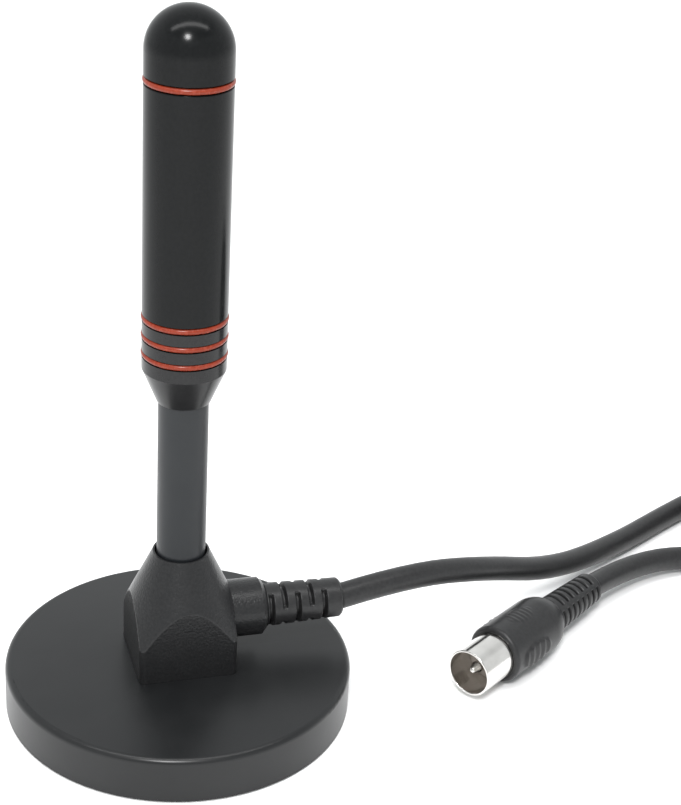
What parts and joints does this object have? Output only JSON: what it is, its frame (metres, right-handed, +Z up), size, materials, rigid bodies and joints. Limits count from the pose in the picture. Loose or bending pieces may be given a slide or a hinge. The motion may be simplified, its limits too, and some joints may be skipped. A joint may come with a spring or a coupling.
{
  "type": "indoor television antenna",
  "caption": "Small indoor television aerial: round magnetic base, square hub with turning slim stem, sealed cylindrical radiator with red seals, coaxial lead and plug.",
  "frame": {"origin": "on the surface that the base stands on, under the middle of the stem", "axes": "+Z up along the stem, +X the way the lead leaves the hub"},
  "size_m": [0.2413, 0.1029, 0.1336],
  "materials": {
    "base_paint": "satin black paint on pressed steel",
    "foot_rubber": "matte black foam rubber",
    "ferrite": "sintered dark grey ferrite",
    "zinc_steel": "zinc plated steel",
    "hub_plastic": "fine textured matte black moulding",
    "white_acetal": "natural white moulding",
    "stem_paint": "satin black paint on tube",
    "mast_plastic": "semi-gloss black moulding",
    "ring_rubber": "red silicone rubber",
    "copper": "bare copper and brass",
    "cable_pvc": "satin black flexible PVC",
    "core_plastic": "milky white polyethylene",
    "nickel": "polished nickel plate",
    "plug_insulator": "dull brown-grey moulding",
    "tie_plastic": "black plastic strip"
  },
  "bodies": {
    "base": {"foot_pad": "foot_rubber", "base_magnet": "ferrite", "magnet_plate": "zinc_steel", "base_cover": "base_paint", "hub_screws": "zinc_steel", "hub_housing": "hub_plastic", "stem_bush": "white_acetal", "cable_boot": "cable_pvc", "braid_ferrule": "zinc_steel", "cable_base_end": "cable_pvc", "feed_core": "core_plastic", "antenna_cable": "cable_pvc", "cable_coil": "cable_pvc", "coil_tie": "tie_plastic", "plug_lead": "cable_pvc", "plug_body": "cable_pvc", "plug_shell": "nickel", "plug_insulator": "plug_insulator", "plug_pin": "nickel", "plug_ferrule": "zinc_steel", "cable_plug_end": "cable_pvc"},
    "mast": {"stem_tube": "stem_paint", "stem_clip": "zinc_steel", "reducer_collar": "mast_plastic", "lower_ring": "ring_rubber", "middle_ring": "ring_rubber", "upper_ring": "ring_rubber", "cap_ring": "ring_rubber", "radiator_sleeve": "mast_plastic", "dome_cap": "mast_plastic", "coil_former": "white_acetal", "radiating_coil": "copper", "feed_terminal": "copper"}
  },
  "joints": [
    {"name": "mast_turn", "type": "hinge", "parent": "base", "child": "mast", "pos_m": [0, 0, 0.0277], "axis": [0, 0, 1], "range_deg": [-170, 170]}
  ]
}
